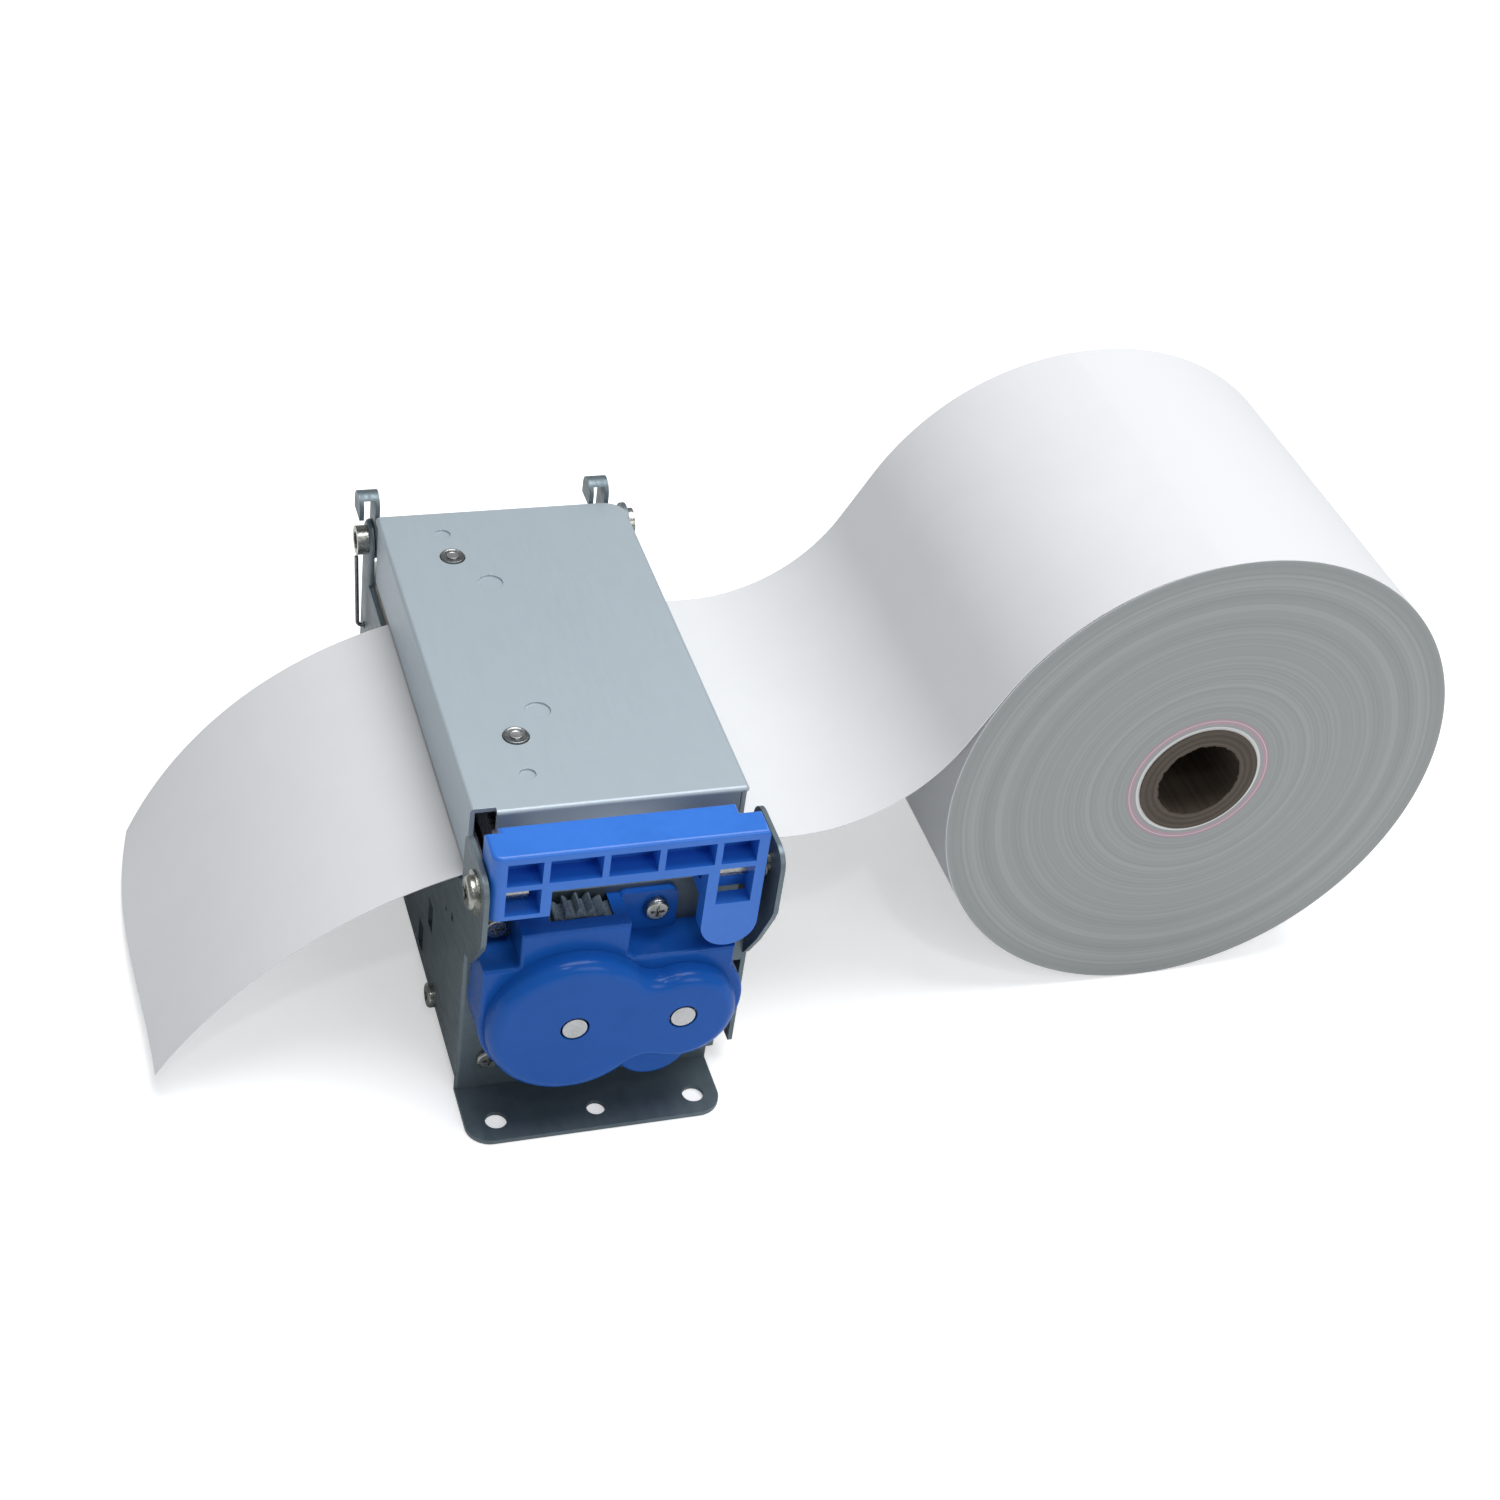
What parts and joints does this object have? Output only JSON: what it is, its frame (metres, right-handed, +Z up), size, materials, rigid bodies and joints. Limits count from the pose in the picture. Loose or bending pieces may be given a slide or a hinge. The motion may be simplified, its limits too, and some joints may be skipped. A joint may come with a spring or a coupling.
{
  "type": "receipt printer mechanism with paper roll",
  "caption": "Steel-framed thermal receipt printer with a lifting cutter head, release lever, covered gear train, paper roll, web and printed slip.",
  "frame": {"origin": "centre of the four base holes, on the surface that the frame stands on", "axes": "+X from the printer towards the paper roll, +Y along the platen away from the gear side, +Z up"},
  "size_m": [0.2666, 0.1276, 0.1112],
  "materials": {
    "zinc_steel": "zinc-plated sheet steel, satin",
    "cover_steel": "zinc-plated sheet steel, satin",
    "screw_steel": "bright plated",
    "bright_steel": "ground",
    "blade_steel": "hardened and ground",
    "spring_wire": "drawn wire",
    "motor_can": "plated can",
    "pale_plastic": "acetal, satin",
    "dark_plastic": "moulded, fine grain",
    "gear_smoke": "smoke grey, slightly translucent",
    "cover_blue": "glossy moulded",
    "lever_blue": "satin moulded",
    "brass": "turned",
    "platen_rubber": "ground rubber",
    "head_aluminium": "extruded",
    "head_ceramic": "glazed",
    "paper": "thermal paper, smooth",
    "roll_paper": "edges of wound thermal paper",
    "core_card": "wound card tube"
  },
  "bodies": {
    "frame": {"main_frame": "zinc_steel", "right_side_plate": "zinc_steel", "side_screw_1": "screw_steel", "side_screw_2": "screw_steel", "tie_rod": "bright_steel", "plate_screw_1": "screw_steel", "plate_screw_2": "screw_steel", "wall_screw": "screw_steel", "blade_bar": "bright_steel", "fixed_blade": "blade_steel", "exit_guide": "pale_plastic", "paper_bed": "dark_plastic", "paper_sensor": "dark_plastic", "platen_bush_near": "dark_plastic", "platen_bush_far": "dark_plastic", "feed_motor": "motor_can", "reduction_axle": "bright_steel", "idler_axle": "bright_steel", "gear_cover": "cover_blue", "gear_cover_screw": "screw_steel", "lever_pivot_left": "screw_steel", "lever_pivot_right": "screw_steel", "lever_spring": "spring_wire", "hinge_pin_left": "screw_steel", "hinge_pin_right": "screw_steel", "wire_hook": "spring_wire", "paper_web": "paper", "paper_slip": "paper"},
    "release_lever": {"lever": "lever_blue"},
    "head_unit": {"cutter_cover": "cover_steel", "hinge_bracket": "zinc_steel", "guide_post_1": "bright_steel", "guide_post_2": "bright_steel", "gear_bracket": "zinc_steel", "cutter_motor": "motor_can", "rack_pinion_axle": "bright_steel", "cutter_idler_axle": "bright_steel", "head_pin_1": "bright_steel", "head_pin_2": "bright_steel", "head_spring_1": "spring_wire", "head_spring_2": "spring_wire"},
    "print_head": {"head_block": "head_aluminium", "head_substrate": "head_ceramic"},
    "cutter_blade": {"moving_blade": "blade_steel", "blade_bush_1": "pale_plastic", "blade_bush_2": "pale_plastic", "blade_rack": "dark_plastic"},
    "rack_gear": {"rack_pinion": "pale_plastic"},
    "cutter_idler_gear": {"cutter_idler": "pale_plastic"},
    "cutter_pinion": {"cutter_motor_pinion": "brass"},
    "platen": {"platen_roller": "platen_rubber", "platen_shaft": "bright_steel", "platen_gear": "gear_smoke"},
    "reduction": {"reduction_gear": "dark_plastic"},
    "feed_idler": {"idler_gear": "pale_plastic"},
    "feed_pinion": {"feed_motor_pinion": "brass"},
    "roll": {"paper_roll": "roll_paper", "roll_core": "core_card"}
  },
  "joints": [
    {"name": "roll_spin", "type": "hinge", "parent": "frame", "child": "roll", "pos_m": [0.1287, 0.00155, 0.0556], "axis": [0, 1, 0], "continuous": true},
    {"name": "platen_spin", "type": "hinge", "parent": "frame", "child": "platen", "pos_m": [-0.0061, 0.00155, 0.04372], "axis": [0, 1, 0], "continuous": true},
    {"name": "reduction_spin", "type": "hinge", "parent": "frame", "child": "reduction", "pos_m": [-0.0076, -0.053, 0.0288], "axis": [0, 1, 0], "continuous": true},
    {"name": "feed_idler_spin", "type": "hinge", "parent": "frame", "child": "feed_idler", "pos_m": [0.0141, -0.0549, 0.0284], "axis": [0, 1, 0], "continuous": true},
    {"name": "feed_pinion_spin", "type": "hinge", "parent": "frame", "child": "feed_pinion", "pos_m": [0.01031, -0.0529, 0.01701], "axis": [0, 1, 0], "continuous": true},
    {"name": "release_lever_tilt", "type": "hinge", "parent": "frame", "child": "release_lever", "pos_m": [0.0017, -0.0515, 0.059], "axis": [1, 0, 0], "range_deg": [0, 22], "stiffness_Nm_per_rad": 0.01, "springref_deg": -17.19},
    {"name": "head_unit_lift", "type": "hinge", "parent": "frame", "child": "head_unit", "pos_m": [0.0018, 0.061, 0.06], "axis": [-1, 0, 0], "range_deg": [0, 60]},
    {"name": "print_head_lift", "type": "slide", "parent": "head_unit", "child": "print_head", "axis": [0, 0, 1], "range_m": [0, 0.001], "stiffness_N_per_m": 800, "springref_m": -0.003, "deforming": ["head_spring_1", "head_spring_2"]},
    {"name": "blade_slide", "type": "slide", "parent": "head_unit", "child": "cutter_blade", "axis": [0, 0, -1], "range_m": [0, 0.005]},
    {"name": "rack_pinion_spin", "type": "hinge", "parent": "head_unit", "child": "rack_gear", "pos_m": [-0.006, 0.05, 0.0605], "axis": [0, 1, 0], "range_deg": [-72, 0]},
    {"name": "cutter_idler_spin", "type": "hinge", "parent": "head_unit", "child": "cutter_idler_gear", "pos_m": [0.003, 0.05, 0.0605], "axis": [0, 1, 0], "range_deg": [0, 58]},
    {"name": "cutter_pinion_spin", "type": "hinge", "parent": "head_unit", "child": "cutter_pinion", "pos_m": [0.011, 0.05, 0.0605], "axis": [0, 1, 0], "range_deg": [-96, 0]}
  ],
  "couplings": [
    {"joint": "platen_spin", "follows": "roll_spin", "ratio": 6.9068},
    {"joint": "reduction_spin", "follows": "roll_spin", "ratio": -7.6339},
    {"joint": "feed_idler_spin", "follows": "roll_spin", "ratio": 14.504},
    {"joint": "feed_pinion_spin", "follows": "roll_spin", "ratio": -24.174},
    {"joint": "rack_pinion_spin", "follows": "blade_slide", "rad_per_m": -250},
    {"joint": "cutter_idler_spin", "follows": "blade_slide", "rad_per_m": 200},
    {"joint": "cutter_pinion_spin", "follows": "blade_slide", "rad_per_m": -333.33}
  ]
}
